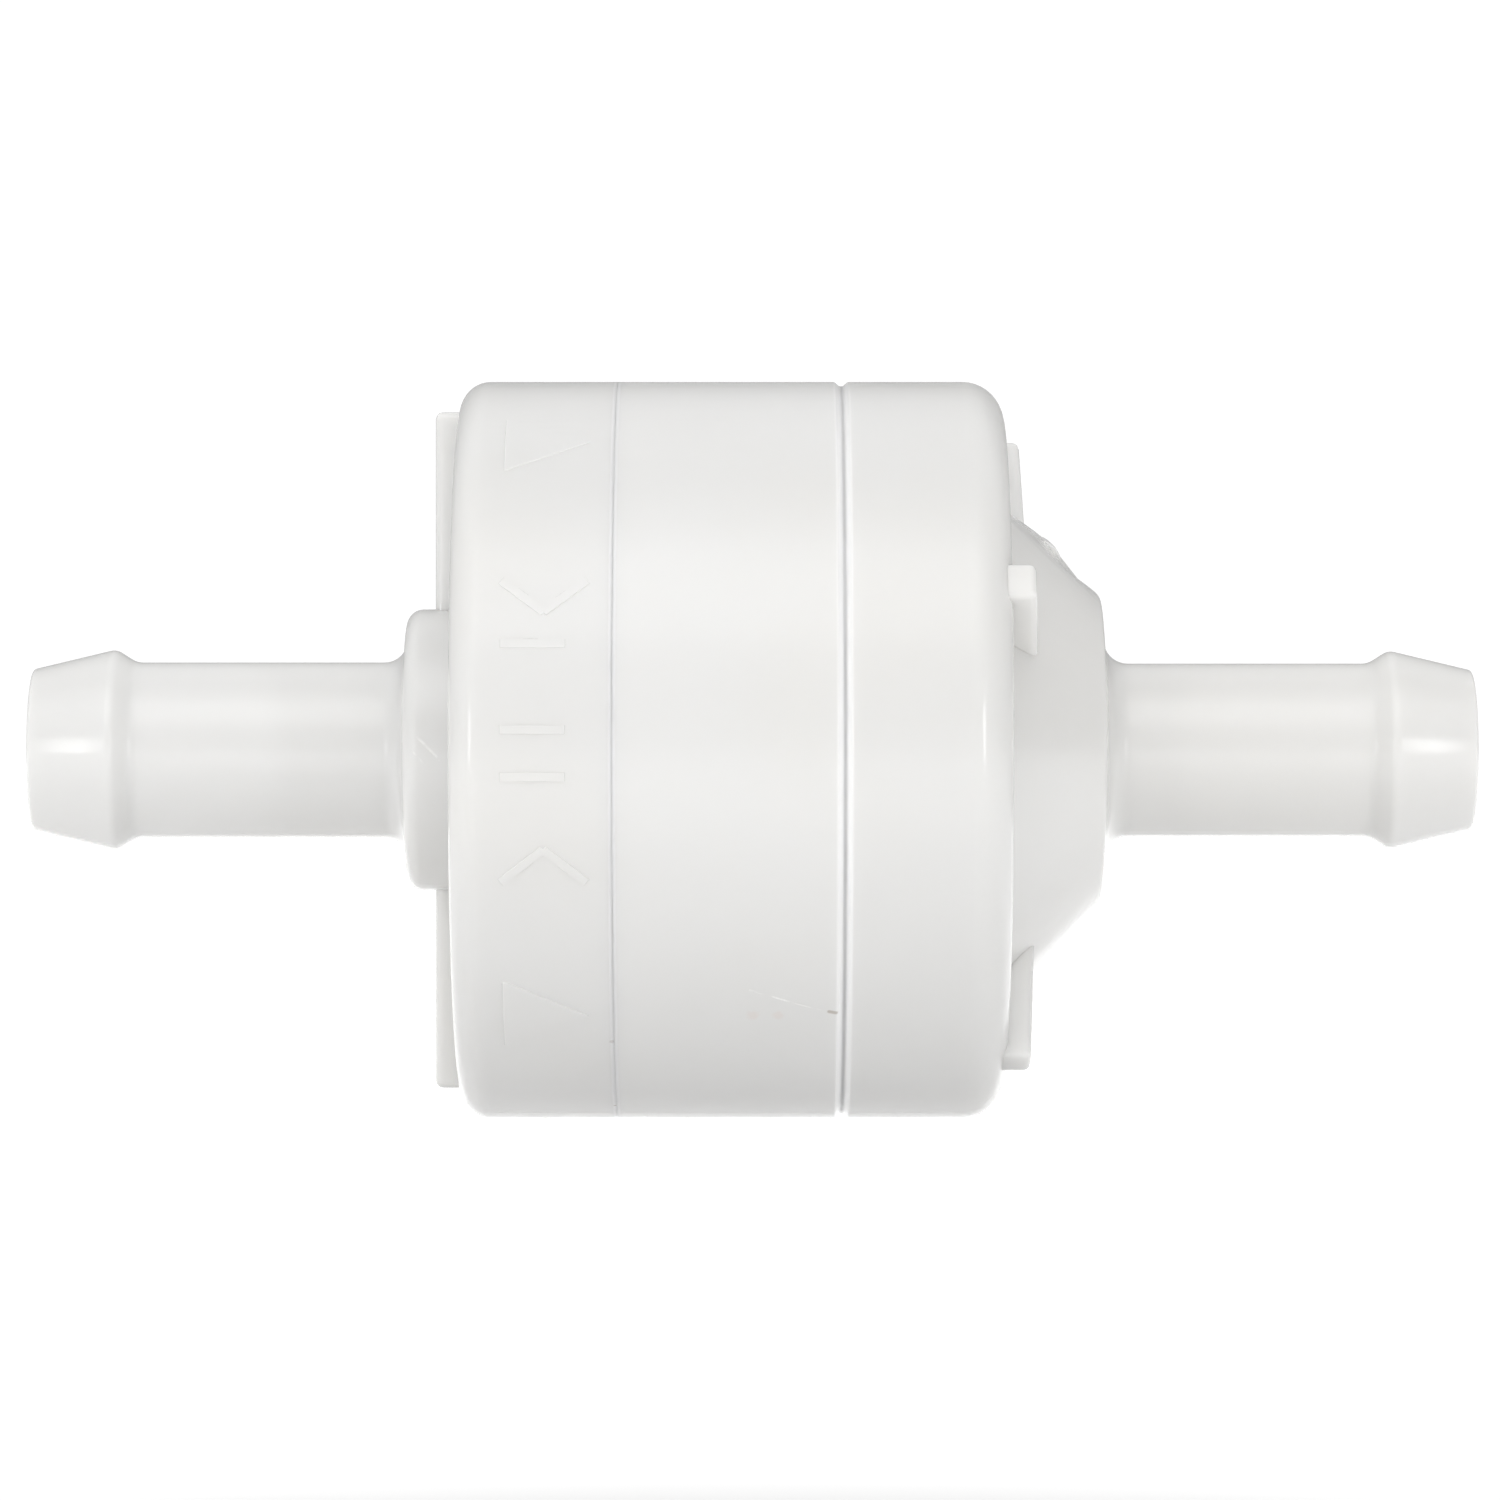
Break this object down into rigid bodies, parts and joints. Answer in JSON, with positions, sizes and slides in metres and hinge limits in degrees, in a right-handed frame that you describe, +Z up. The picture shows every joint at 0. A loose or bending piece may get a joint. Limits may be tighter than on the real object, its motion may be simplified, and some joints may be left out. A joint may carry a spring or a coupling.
{
  "type": "inline fuel filter",
  "caption": "Inline fuel filter: a welded milky plastic drum with a barbed hose fitting at each end and a pleated paper cartridge sealed inside.",
  "frame": {"origin": "middle of the overall length, on the flow axis through both fittings", "axes": "+X is the flow direction, from the inlet tip to the outlet tip; +Z is up, with the inlet drive ribs upright; -Y is the side with the raised flow arrows"},
  "size_m": [0.053, 0.0272, 0.0272],
  "materials": {
    "housing_plastic": "milky translucent moulded nylon, satin",
    "sleeve_plastic": "milky translucent moulded nylon, satin",
    "cartridge_plastic": "natural moulded plastic",
    "filter_paper": "resin-cured pleated filter paper",
    "potting_adhesive": "cured amber adhesive",
    "clip_steel": "plain folded strip steel",
    "seal_rubber": "moulded fuel-resistant rubber"
  },
  "bodies": {
    "root": {"inlet_cap": "housing_plastic", "centre_sleeve": "sleeve_plastic", "outlet_cap": "housing_plastic", "closed_end_disc": "cartridge_plastic", "open_end_disc": "cartridge_plastic", "core_tube": "cartridge_plastic", "pleated_paper": "filter_paper", "closed_end_potting": "potting_adhesive", "open_end_potting": "potting_adhesive", "pleat_seam_clip": "clip_steel", "spigot_seal": "seal_rubber"}
  },
  "joints": []
}
